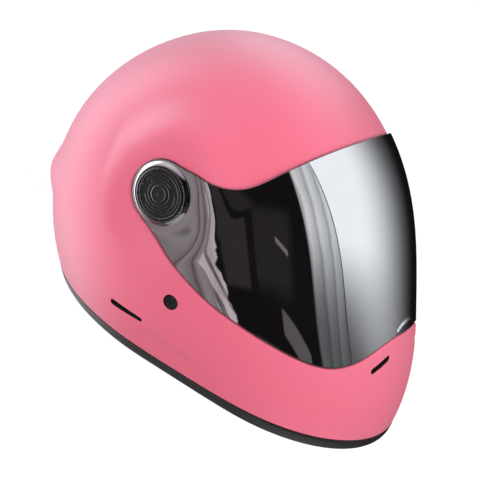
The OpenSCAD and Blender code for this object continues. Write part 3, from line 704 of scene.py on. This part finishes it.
def make_shell():
    shell, lining = Patches(), Patches()
    edge = moved(outline, skin_at, EDGE_GAP * SIDE)
    lip = lip_at(surface(edge, BASE))
    radius = (0.3 + 0.6 * lip)[:, None]
    p, n, side = frame_of(edge, skin_at)
    side = -side * SIDE
    bound = to_edge(to_chart(p - side * radius))
    holes = []
    for loop, r in ((side_slot(), SLOT_ROUND), (chin_slot(), SLOT_ROUND),
                    (rivet_hole, RIVET_ROUND)):
        q, m, s = hole_frame(loop, skin_at)
        holes.append(to_chart(q - s * r))
        rings, ns = rounded(q, m, s, r)
        foot = q - m * (r + 0.1)
        shell.band(rings + [foot], ns + [s], True)
        lining.band([foot, q - m * LINING_FOOT], [s, s], True)
    fine = [(np.mean(h, 0), 16, 1.6) for h in holes]
    outer = np.vstack([rim_curve, middle_arc(rim_curve[-1], bound[0], over_top=True), bound,
                       middle_arc(bound[-1], rim_curve[0])])
    shell.region(*fill(outer, holes, SKIN_STEP, fine), skin_at)
    # The rounded edge of the pocket that the visor lies in, and its wall
    rings, ns = rounded(p, n, side, radius)
    shell.band(rings + [surface(edge, level(-LEDGE))], ns + [side], False)
    # The ledge under the lens, and the eye port's edge
    ring = np.vstack([edge, middle_arc(edge[-1], port[-1]), port[::-1],
                      middle_arc(port[0], edge[0])])
    shell.region(*fill(ring, [], HIDDEN_STEP), level(-LEDGE))
    _, _, s = frame_of(port, BASE)
    shell.band([surface(port, level(-LEDGE)), surface(port, level(-WALL))],
               [s * -SIDE, s * -SIDE], False)
    # The inside, and the edge at the bottom
    inner = np.vstack([rim_curve, middle_arc(rim_curve[-1], port[0], 5, True), port,
                       middle_arc(port[-1], rim_curve[0], 5)])
    shell.region(*fill(inner, holes, INSIDE_STEP, fine), level(-WALL), outside=False)
    down = np.tile([0.0, 0, -1], (len(rim_curve), 1))
    shell.band([surface(rim_curve, skin_at), surface(rim_curve, level(-WALL))], [down, down],
               False)
    return shell.build("shell_paint", PINK), lining.build("slot_linings", RUBBER)


def tab_lift(p):
    """How far the thumb lip stands off the lens, at the middle of its lower edge."""
    x, z = p[..., 0], p[..., 2]
    side = np.sqrt(np.clip(1 - (x / TAB_HALF) ** 2, 0, 1))
    lens_edge = -36.5 - 0.004 * x ** 2
    down = 1 - (z - lens_edge) / (TAB_UP * side + 1e-6)
    front = fade(p[..., 1], -120, -140)
    return front * side * TAB_OUT * fade(down, 0, 0.11) * (1 - 0.7 * np.clip(down, 0, 1))


def lens_face(p):
    return LENS_OUT + tab_lift(p)


def make_lens():
    """The mirrored face with its rounded edge, and the smoked edge and inside."""
    face, back = Patches(), Patches()
    p, n, side = frame_of(outline, lens_face)
    side = side * SIDE
    bound = to_edge(to_chart(p - side * LENS_ROUND))
    hole = circle(0, 0, LENS_HOLE_R, 72, level(LENS_OUT))
    outer = np.vstack([bound, middle_arc(bound[-1], bound[0], 1.2)])
    tab = to_chart(np.array([0.5, -163.2, -32]))
    face.region(*fill(outer, [hole], LENS_STEP, [(tab, 26, 0.8)]), lens_face)
    rings, ns = rounded(p, n, side, LENS_ROUND, 6)
    back.band(rings, ns, False)
    foot = surface(to_chart(p - n * 2), level(LENS_GAP))
    back.band([rings[-1], foot], [side, side], False)
    inner = to_edge(to_chart(foot))
    inner = np.vstack([inner, middle_arc(inner[-1], inner[0], 2.5)])
    back.region(*fill(inner, [hole], HIDDEN_STEP), level(LENS_GAP), outside=False)
    q, _, s = hole_frame(hole, level(LENS_OUT))
    back.band([q, surface(hole, level(LENS_GAP))], [s, s], True)
    return face.build("visor_mirror", MIRROR), back.build("visor_inside", SMOKE)


def make_gasket():
    """A rubber band round the eye port, as steps of [inwards, height, normal]."""
    g = Patches()
    p, _, side = frame_of(port, BASE)
    side = side * -SIDE
    steps = [(0, -5.5, -1, 0), (0, -0.3, -0.6, 0.8), (0.6, -0.1, 0, 1), (2.4, -0.25, 0.3, 0.95),
             (3.2, -0.9, 0.8, 0.6), (3.5, -2, 1, 0), (3.5, -5, 0.9, -0.4), (3, -5.5, 0, -1)]
    rings, ns = [], []
    for inwards, height, a, b in steps:
        uv = to_edge(to_chart(p + side * inwards))
        rings.append(surface(uv, level(height)))
        ns.append(unit(side * a + normals(uv, BASE) * b))
    g.band(rings, ns, False)
    return g.build("port_gasket_rubber", RUBBER)


def make_trim():
    """The rubber channel under the shell, a section of [off, z] carried round the rim."""
    turns = np.arange(360.0)
    top, low = TRIM_TOP, FLOOR_Z
    section = [(-2.0, top - 0.15), (-0.5, top - 0.15), (0.0, top - 0.5), (0.35, top - 2.2),
               (0.4, low + 5), (0.1, low + 3.2), (-0.5, low + 1.6), (-1.2, low + 0.5),
               (-2.0, low + 0.05), (-2.6, low), (-9.2, low), (-9.8, low + 0.5),
               (-9.8, top - 2.5), (-9.3, top - 2)]
    v = np.array([rim(z, off, turns) for off, z in section]).reshape(-1, 3)
    faces = [q[::-1] for q in ring_faces(len(section), len(turns))]
    return solid("base_trim_rubber", v, faces, RUBBER)


# The hinge's ring and its ringed knob

def knob_height(r, t):
    """The knob's face over the lens at radius r and angle t: a rim, broken ridges, a boss."""
    h = KNOB_FACE + 0.35 * ease((KNOB_R - KNOB_ROUND - r) / 0.8) - 0.6 * ease((16.6 - r) / 0.6)
    for at, first, last in KNOB_RIDGES:
        reach = np.minimum(ease((t - first) / 9), ease((last - t) / 9))
        h = h + 0.2 * np.exp(-((r - at) / 0.7) ** 2) * reach
    for at, turn in KNOB_PIPS:
        away = np.hypot(r * np.cos(np.radians(t)) - at * math.cos(math.radians(turn)),
                        r * np.sin(np.radians(t)) - at * math.sin(math.radians(turn)))
        h = h + 0.35 * np.clip(1 - (away / 0.6) ** 2, 0, 1)
    boss = ease((6.6 - r) / 1.1)
    return h + boss * 0.4 - 0.2 * ease((5.2 - r) / 0.9) + 0.12 * ease((1.6 - r) / 0.8)


def bezel_profile():
    """A floor, a rounded lip round the knob and a broad slope outwards, as [radius, height
    over the lens]."""
    low, high = BEZEL_MID - BEZEL_HALF, BEZEL_MID + BEZEL_HALF
    turns = np.radians(np.linspace(180, 60, 13))
    lip = [(low + BEZEL_ROUND + BEZEL_ROUND * math.cos(a), BEZEL_LIP + BEZEL_ROUND * math.sin(a))
           for a in turns]
    out = np.linspace(0.1, 1, 12) * (high - 0.1 - lip[-1][0])
    slope = [(lip[-1][0] + a, lip[-1][1] - 0.45 * a - 0.15 * a ** 2) for a in out]
    return [(9.1, 0.02), (9.1, 0.58), (low - 0.1, 0.58), (low, 0.68)] + lip + slope + [
        (high, 0.3), (high - 0.15, 0.02)]


def turned(name, radii, heights, steps, side, material, faces=()):
    """Rows of points turned about the hinge axis, at heights over the lens, with more faces."""
    r, t = np.meshgrid(radii, np.radians(np.arange(steps) * 360 / steps), indexing="ij")
    x = side * (LENS_FACE + np.broadcast_to(heights, r.shape))
    v = np.stack([x, r * np.cos(t), r * np.sin(t)], -1).reshape(-1, 3)
    faces = ring_faces(len(radii), steps) + list(faces)
    return solid(name, v, [f[::-side] for f in faces], material)


def make_knob(side, hand):
    """The knob's finely meshed face, its rounded edge, its side and its back."""
    flat = KNOB_R - KNOB_ROUND
    radii = np.concatenate([np.linspace(0.02, 6.8, 46), np.linspace(7, flat, 84)])
    x = knob_height(*np.meshgrid(radii, np.arange(KNOB_STEPS) * 360 / KNOB_STEPS, indexing="ij"))
    edge, back = x[-1:], np.full((1, KNOB_STEPS), KNOB_BACK)
    x = np.vstack([x, edge - 0.06, edge - 0.2, edge - 0.5, back, back])
    radii = np.concatenate([radii, [flat + 0.2, flat + 0.37, KNOB_R, KNOB_R, KNOB_STEM_R]])
    middle = tuple(range(KNOB_STEPS))[::-1]
    return turned(f"knob_{hand}_disc", radii, x, KNOB_STEPS, side, KNOB, [middle])


def make_bezel(side, hand):
    radii, heights = np.array(bezel_profile()).T
    return turned(f"bezel_{hand}_chrome", radii, heights[:, None], BEZEL_STEPS, side, CHROME)


# Foam, cushions and webbing

CAVITY_MID = np.array([0, -11, -36])
CAVITY = np.array([90, 104, 100])
CLOTH_FRAMES = 20
CLOTH_PRESSURE = 4
CUSHION_VOXEL = 4
CUSHION_SWELL = 2.4
CHANNEL_DEPTH = 2.2
WELT_DEPTH = 0.8


def placed(a, b):
    """Two (value, range) pairs, as shares of their ranges from -1 to 1."""
    return [2 * (v - r[0]) / (r[1] - r[0]) - 1 for v, r in (a, b)]


def round_wall(turns, rises):
    """Where a point lies on a cushion round the cavity's side, each way from -1 to 1."""
    def place(p):
        q = (p - CAVITY_MID) / CAVITY
        turn = np.degrees(np.arctan2(q[:, 0], -q[:, 1])) % 360
        rise = np.where(q[:, 2] > 0, np.degrees(np.arcsin(np.clip(q[:, 2], 0, 1))),
                        p[:, 2] - CAVITY_MID[2])
        turn = np.where(turn > turns[1] + 90, turn - 360, turn)
        return placed((turn, turns), (rise, rises))
    return place


def over_top(across, along):
    """The same for a cushion over the cavity's top."""
    def place(p):
        q = (p - CAVITY_MID) / CAVITY
        return placed((q[:, 0] / q[:, 2], across), (q[:, 1] / q[:, 2], along))
    return place


def evaluated(ob):
    """The piece's mesh with its modifiers applied."""
    depsgraph = bpy.context.evaluated_depsgraph_get()
    return bpy.data.meshes.new_from_object(ob.evaluated_get(depsgraph))


def apply_modifiers(ob):
    mesh = evaluated(ob)
    ob.modifiers.clear()
    ob.data = mesh


def vectors(items, name):
    """One vector of every item of a mesh."""
    v = np.empty(len(items) * 3, np.float32)
    items.foreach_get(name, v)
    return v.reshape(-1, 3).astype(float)


def coords(mesh):
    return vectors(mesh.vertices, "co")


def set_coords(mesh, v):
    mesh.vertices.foreach_set("co", v.astype(np.float32).ravel())
    mesh.update()


def dress(ob, material):
    ob.data.materials.clear()
    ob.data.materials.append(material)


def voxels(ob, size):
    """Gives a piece a modifier that meshes it evenly, with sides of size metres."""
    remesh = ob.modifiers.new("remesh", "REMESH")
    remesh.mode = "VOXEL"
    remesh.voxel_size = size
    return remesh


def swollen(name, node, voxel, swell, material):
    """A copy of a packed soft solid, filled by a cloth simulation. Sizes in millimetres."""
    ob = link(name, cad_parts[node].data.copy())
    dress(ob, material)
    voxels(ob, voxel / 1000)
    apply_modifiers(ob)
    n = vectors(ob.data.vertex_normals, "vector")
    start = coords(ob.data) - n * swell * 0.4 / 1000
    set_coords(ob.data, start)
    cloth = ob.modifiers.new("cloth", "CLOTH")
    cloth.settings.use_pressure = True
    cloth.settings.uniform_pressure_force = CLOTH_PRESSURE
    cloth.settings.effector_weights.gravity = 0
    cloth.point_cache.frame_start = 1
    cloth.point_cache.frame_end = CLOTH_FRAMES
    for f in range(1, CLOTH_FRAMES + 1):
        bpy.context.scene.frame_set(f)
    v = coords(evaluated(ob))
    ob.modifiers.clear()
    bpy.context.scene.frame_set(1)
    step = v - start
    far = np.linalg.norm(step, axis=1, keepdims=True)
    set_coords(ob.data, start + step * np.minimum(swell / 1000 / np.maximum(far, 1e-9), 1))
    smooth = ob.modifiers.new("smooth", "SMOOTH")
    smooth.iterations = 3
    fine = ob.modifiers.new("fine", "SUBSURF")
    fine.levels = fine.render_levels = 1
    apply_modifiers(ob)
    ob.data.shade_smooth()
    return ob


def cushion(name, node, place, channels, thick):
    """A cushion on the cavity's wall, with its sewn channels and a welt round its edge."""
    ob = swollen(name, node, CUSHION_VOXEL, CUSHION_SWELL, CLOTH)
    p, n = coords(ob.data) * 1000 - HINGE, vectors(ob.data.vertex_normals, "vector")
    s, t = place(p)
    q = (p - CAVITY_MID) / CAVITY
    q[:, 2] = np.maximum(q[:, 2], 0)
    depth = (1 - np.linalg.norm(q, axis=1)) * CAVITY[0]
    # No further back than the foam, and sewn down only on the face
    back = np.maximum(0.3 - depth, 0)[:, None] * -unit(q)
    face = ease((depth - 0.35 * thick) / (0.3 * thick))
    sewn = sum(np.exp(-((s - c) / 0.035) ** 2) for c in channels)
    welt = np.exp(-((np.maximum(np.abs(s), np.abs(t)) - 0.86) / 0.025) ** 2)
    sink = face * (CHANNEL_DEPTH * np.minimum(sewn, 1) + WELT_DEPTH * welt)
    set_coords(ob.data, to_row(p + back - n * sink[:, None]))
    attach(ob, "helmet")
    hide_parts(node)


STRAP_SECTION = [(-10, 0), (-9.7, 0.5), (-9.1, 0.8), (9.1, 0.8), (9.7, 0.5), (10, 0),
                 (9.7, -0.5), (9.1, -0.8), (-9.1, -0.8), (-9.7, -0.5)]
# The strap through the hanger's slot, round its lower bar and down, as [x, z]
STRAP_END = [[108.7, -80], [108.7, -74.5], [109.6, -72.2], [111.4, -72.2], [112.3, -74.5],
             [112.3, -77.5], [111, -81], [106.5, -92], [103.5, -101], [96, -110], [85, -117],
             [71, STRAP_LOW]]


def make_strap(name, node, side, path):
    """Flat webbing from its end on one side of the helmet along a path that starts under
    the rings. Both are seen from the front."""
    path = [[side * x, z] for x, z in STRAP_END] + [[RING_X + x, STRAP_LOW + z] for x, z in path]
    c = spline(path, 5)
    t = unit(np.gradient(c, axis=0))
    up = np.stack([-t[:, 1], t[:, 0]], -1)
    rings = [np.stack([c[:, 0] + up[:, 0] * h, np.full(len(c), STRAP_Y + w),
                       c[:, 1] + up[:, 1] * h], -1) for w, h in STRAP_SECTION]
    v = np.array(rings).transpose(1, 0, 2).reshape(-1, 3)
    k = len(STRAP_SECTION)
    faces = ring_faces(len(c), k) + [tuple(range(k))[::-1], tuple(range(len(v) - k, len(v)))]
    ob = solid(name, v, [f[::-1] for f in faces], WEB)
    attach(ob, "helmet")
    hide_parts(node)


def make_stitches():
    """Rows of thread across the straps, where they are sewn back on themselves."""
    v, faces = [], []
    rows = [(side * x, z, lean * side) for side in (-1, 1)
            for x, z, lean in ((107.3, -89.5, 68), (106, -93.5, 70))]
    rows += [(RING_X + x, STRAP_LOW + z, 0)
             for x, z in ((-34, 5.25), (-38, 5.05), (20, 2.7), (23, 2.6))]
    for x, z, lean in rows:
        a = math.radians(lean)
        out = np.array([math.sin(a) * np.sign(x), 0, math.cos(a)])
        wide = np.array([0, 0, -0.22] if lean else [0.22, 0, 0])
        for y in np.arange(-8, 8.1, 2):
            faces += [(i, i + 1, i + 3, i + 2) for i in range(len(v), len(v) + 6, 2)]
            for dy, h in ((-0.8, 0), (-0.4, 0.28), (0.4, 0.28), (0.8, 0)):
                p = np.array([x, STRAP_Y + y + dy, z]) + out * (0.75 + h)
                v += [p - wide, p + wide]
    return solid("strap_stitches", np.array(v), faces, THREAD)


shell, linings = make_shell()
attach(shell, "helmet")
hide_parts("outer_shell")
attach(linings, "helmet")
for piece in make_lens():
    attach(piece, "visor")
    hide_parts("visor_lens")
trim = make_trim()
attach(trim, "helmet")
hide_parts("base_trim")
gasket = make_gasket()
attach(gasket, "helmet")
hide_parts("eye_port_gasket")
for side, hand in ((1, "left"), (-1, "right")):
    bezel = make_bezel(side, hand)
    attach(bezel, "visor")
    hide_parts(f"visor_bezel_{hand}")
    knob = make_knob(side, hand)
    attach(knob, f"knob_{hand}")
    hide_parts(f"knob_{hand}")

for look, names in ((FOAM, ("crown_liner", "ring_liner", "chin_liner")),
                    (PLASTIC, ("hinge_base_left", "hinge_base_right", "strap_rivets")),
                    (STEEL, ("hinge_screws", "strap_hangers", "d_rings")),
                    (RUBBER, ("chin_grilles", "side_grilles"))):
    for node in names:
        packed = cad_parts[node]
        dress(packed, look)
        if look == FOAM:
            voxels(packed, 0.0025).use_smooth_shade = True
            packed.modifiers.new("eased", "SMOOTH").iterations = 6

cushion("crown_cushion", "crown_pad", over_top([-0.8, 0.8], [-0.1, 1.35]), [-0.5, 0, 0.5], 9)
cushion("brow_cushion", "brow_pad", round_wall([-50, 50], [51, 66]), [-0.33, 0.33], 9)
cushion("neck_cushion", "neck_roll", round_wall([128, 232], [-66, -26]), [-0.4, 0, 0.4], 12)
cushion("cheek_cushion_left", "cheek_pad_left", round_wall([64, 104], [-68, -12]), [0], 22)
cushion("cheek_cushion_right", "cheek_pad_right", round_wall([256, 296], [-68, -12]), [0], 22)
pads = swollen("strap_sleeves", "strap_pad", 1.2, 0.5, CLOTH)
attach(pads, "helmet")
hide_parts("strap_pad")

make_strap("strap_long_webbing", "strap_long", -1, [
    (-17, 0), (-11.8, 0.2), (-10.7, 2.6), (-10.7, 6.6), (-12.5, 8.2), (-15.5, 8.2), (-18, 7),
    (-21, 5), (-28, 4.6), (-54, 3.4), (-80, 2.4)])
make_strap("strap_short_webbing", "strap_short", 1, [
    (-4, 0), (-6.1, 2.1), (-6.4, 6.1), (-4.5, 8.1), (1, 8.2), (5, 6.6), (11, 3.1), (16, 2)])
stitches = make_stitches()
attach(stitches, "helmet")


# Camera, light and surroundings

def camera_axes():
    """The photograph's right, up and towards-the-viewer directions in the standing frame:
    the camera looks down by 12 degrees on a helmet that is leant back by 26.84."""
    down, turn, lean = (math.radians(a) for a in (12, 63.24, 26.84))
    s, c = math.sin(turn), math.cos(turn)
    right = np.array([c, -s, 0])
    up = np.array([s * math.sin(down), c * math.sin(down), math.cos(down)])
    back = np.array([-s * math.cos(down), -c * math.cos(down), math.sin(down)])
    s, c = math.sin(lean), math.cos(lean)
    leant = np.array([[1, 0, 0], [0, c, -s], [0, s, c]])
    return [v @ leant for v in (right, up, back)]


RIGHT, UP, BACK = camera_axes()
EYE = to_row(np.array([-798.11, -295.43, 301.14]))
MIDDLE = np.array([0, 0, 0.11])
WHITE = (1, 1, 1, 1)
COOL = (0.94, 0.97, 1)
WARM = (1.06, 0.9, 0.95)


def make_camera():
    data = bpy.data.cameras.new("photo_camera")
    data.lens = 90
    data.sensor_width = 36
    data.sensor_fit = "HORIZONTAL"
    data.clip_start = 0.01
    data.clip_end = 50
    cam = link("photo_camera", data)
    m = np.eye(4)
    m[:3] = np.stack([RIGHT, UP, BACK, EYE], 1)
    cam.matrix_world = Matrix(m.tolist())
    bpy.context.scene.camera = cam


def area_light(name, direction, size, power):
    """A square lamp aimed at the helmet from a direction of the photograph's frame."""
    d = unit(RIGHT * direction[0] + UP * direction[1] + BACK * direction[2])
    data = bpy.data.lights.new(name, "AREA")
    data.shape = "SQUARE"
    data.size = size
    data.energy = power
    ob = link(name, data)
    ob.location = MIDDLE + d * LAMP_FAR
    ob.rotation_euler = Vector(d).to_track_quat("Z", "Y").to_euler()
    ob.visible_glossy = False


def seen_rays(g):
    """1 for the rays that see the background itself: camera, glossy and transmission."""
    paths = g.new("LightPath").outputs
    return g.most(*[paths[f"Is {ray} Ray"] for ray in ("Camera", "Glossy", "Transmission")])


def shading(blocks, name):
    """A new material or world, and the writer of its nodes."""
    block = blocks.new(name)
    block.use_nodes = True
    block.node_tree.nodes.clear()
    return block, Nodes(block.node_tree)


def make_world():
    """A white tent, seen as plain white. Its light comes from low down more than from high
    up, and from the viewer's right side more than from behind the helmet."""
    bpy.context.scene.world, g = shading(bpy.data.worlds, "studio")
    where = g.new("TexCoord").outputs["Generated"]
    up = g.new("SeparateXYZ", where).outputs["Z"]
    side = g.new("VectorMath", where, tuple(unit(BACK + 0.35 * RIGHT)), operation="DOT_PRODUCT")
    strength = g.mul(g.ramp(up, 0.1, 0.8, TENT_LOW, TENT_HIGH),
                     g.ramp(side.outputs["Value"], -0.3, 0.9, TENT_BACK, TENT_FRONT))
    light, plain = [g.new("Background", WHITE, s).outputs[0] for s in (strength, 1.0)]
    tent = g.new("MixShader", seen_rays(g), light, plain)
    g.new("OutputWorld", tent.outputs[0])


def folds(g, az, el, period, bend, seed):
    """Hanging cloth: soft bright folds with narrow shadows, from 0 to 1."""
    where = g.vector(g.mul(az, 0.06), g.mul(el, 0.03), seed)
    wander = g.mul(g.noise(where, 1.0, 4.0), bend)
    phase = g.add(g.mul(az, 2 * math.pi / period), wander)
    wave = g.math("SINE", g.add(phase, g.mul(g.math("SINE", phase), 0.7)))
    return g.math("POWER", g.add(g.mul(wave, 0.5), 0.5), 0.6)


def card_light(g, az, el):
    """How bright the surroundings are, by degrees round from the viewer and up: from the
    left haze, a lamp box, grey drapes, a dark room, a strip of cloth and a bright wall."""
    def pane(across, upwards, light, slope=0.0, level_at=0):
        """A soft-edged patch of light, whose lower and upper edges may slope."""
        height = g.add(el, g.mul(g.add(az, -level_at), slope)) if slope else el
        return g.mul(g.between(az, *across), g.between(height, *upwards), light)

    far_side = g.math("POWER", g.ramp(az, 80, 150, 1.0, 0.0), 1.6)
    lit = g.most(g.mul(g.ramp(el, 18, 30), far_side),
                 g.mul(g.ramp(el, 28, 45), g.ramp(az, 40, 90), 3.0))
    haze = g.mul(g.between(az, -140, -105, -92, -66), g.ramp(el, -40, -10), HAZE_LIGHT)
    ragged = g.mul(g.add(g.noise(g.vector(g.mul(el, 0.11)), 1.0, 3.0), -0.5), 16)
    drape_at = g.add(az, g.mul(el, 0.2), ragged)
    drape = g.ramp(drape_at, -25.5, -24.5, 1.0, 0.0)
    crisp = g.ramp(folds(g, g.add(az, g.mul(el, 0.5)), el, 11, 14, 7), 0.45, 0.6)
    front = g.mul(g.between(drape_at, -38, -34, -26, -23), g.mul(crisp, 0.26))
    drape_shade = g.add(0.08, g.mul(folds(g, az, el, 13, 9, 1), 0.14), front)
    leant = g.add(az, g.mul(g.add(el, -16), 0.25))
    wall_at = g.add(az, g.mul(g.add(el, -8), 0.4))
    strip = g.mul(g.ramp(leant, 33, 34.5), g.ramp(wall_at, 55.7, 56.3, 1.0, 0.0))
    strip_shade = g.mul(g.ramp(el, -32, 2, 0.1, 0.62),
                        g.add(0.6, g.mul(folds(g, leant, el, 8, 7, 4), 0.5)))
    wall = g.mul(g.ramp(wall_at, 56.4, 57), far_side)
    wall_shade = g.ramp(el, -27, -2, 0.1, 1.0)
    # The dark room and a stool and a tag in the studio: faint painted glows on the cards.
    room = g.add(0.006, pane((-19, -16, -2, 0), (-30, -27, 1, 4), 0.02),
                 pane((3, 5, 24, 31), (-31, -22, -1, 5), 0.012))
    stool = pane((19, 20, 38, 39), (-42, -41, -35, -34), 0.09, 0.3, 30)
    tag = pane((17, 18, 25, 26), (-13, -12.5, -11, -10.5), 0.14, 0.55, 22)
    shades = g.add(g.mul(drape, drape_shade), g.mul(strip, strip_shade),
                   g.mul(wall, wall_shade), room, stool, tag)
    ground = g.mul(g.ramp(el, -47, -42, 1.0, 0.0), g.ramp(az, 55, 95, 0.1, 0.2))
    box = pane((-165, -140, -110, -95), (-35, -20, 30, 45), BOX_LIGHT)
    top_box = g.mul(g.ramp(el, 34, 48), g.ramp(az, -30, 30, BOX_LIGHT * 0.9, BOX_LIGHT * 0.3))
    return g.add(g.most(shades, ground, lit), haze, box, top_box)


def make_cards():
    """The studio's cards and drapes, bent round the helmet, which only its gloss sees: glowing
    cards painted with the light and shade of the surroundings.
    """
    steps, rows = 110, 30
    verts, angles = [], []
    for el in np.linspace(-64, 86, rows + 1):
        for az in np.linspace(-178, 178, steps + 1):
            a, e = math.radians(az), math.radians(el)
            d = (RIGHT * math.sin(a) + BACK * math.cos(a)) * math.cos(e) + UP * math.sin(e)
            verts.append(tuple(MIDDLE + d * CARDS_R))
            angles.append((az, el))
    mesh = bpy.data.meshes.new("studio_cards")
    mesh.from_pydata(verts, [], ring_faces(rows + 1, steps + 1, False))
    layer = mesh.uv_layers.new(name="angles")
    for loop in mesh.loops:
        layer.data[loop.index].uv = angles[loop.vertex_index]
    paint, g = shading(bpy.data.materials, "studio_cards")
    az, el, _ = g.new("SeparateXYZ", g.new("UVMap", uv_map="angles").outputs[0]).outputs
    tone = g.colour(g.between(az, -66, -58, 15, 50), COOL, WARM)
    glow = g.new("Emission", tone, card_light(g, az, el))
    g.new("OutputMaterial", glow.outputs[0])
    cards = link("studio_cards", mesh, paint)
    for ray in ("camera", "diffuse", "transmission", "shadow", "volume_scatter"):
        setattr(cards, "visible_" + ray, False)


def make_floor():
    """A pale floor that keeps the helmet's shadow and is white where nothing shades it."""
    mesh = bpy.data.meshes.new("floor")
    mesh.from_pydata([(-7, -7, 0), (7, -7, 0), (7, 7, 0), (-7, 7, 0)], [], [(0, 1, 2, 3)])
    paint, g = shading(bpy.data.materials, "floor")
    seen = g.new("LightPath").outputs["Is Camera Ray"]
    dull = g.new("BsdfDiffuse", g.ramp(seen, 0, 1, 0.3, 0.25))
    glow = g.new("Emission", WHITE, g.mul(seen, 0.92))
    both = g.new("AddShader", dull.outputs[0], glow.outputs[0])
    g.new("OutputMaterial", both.outputs[0])
    floor = link("floor", mesh, paint)
    floor.visible_glossy = False


make_camera()
make_world()
make_cards()
make_floor()
area_light("fill_right", (0.95, 0.1, 0.35), 1.0, 14)
area_light("fill_front", (-0.2, -0.14, 0.97), 0.5, 12)
bpy.context.scene.view_settings.view_transform = "Standard"
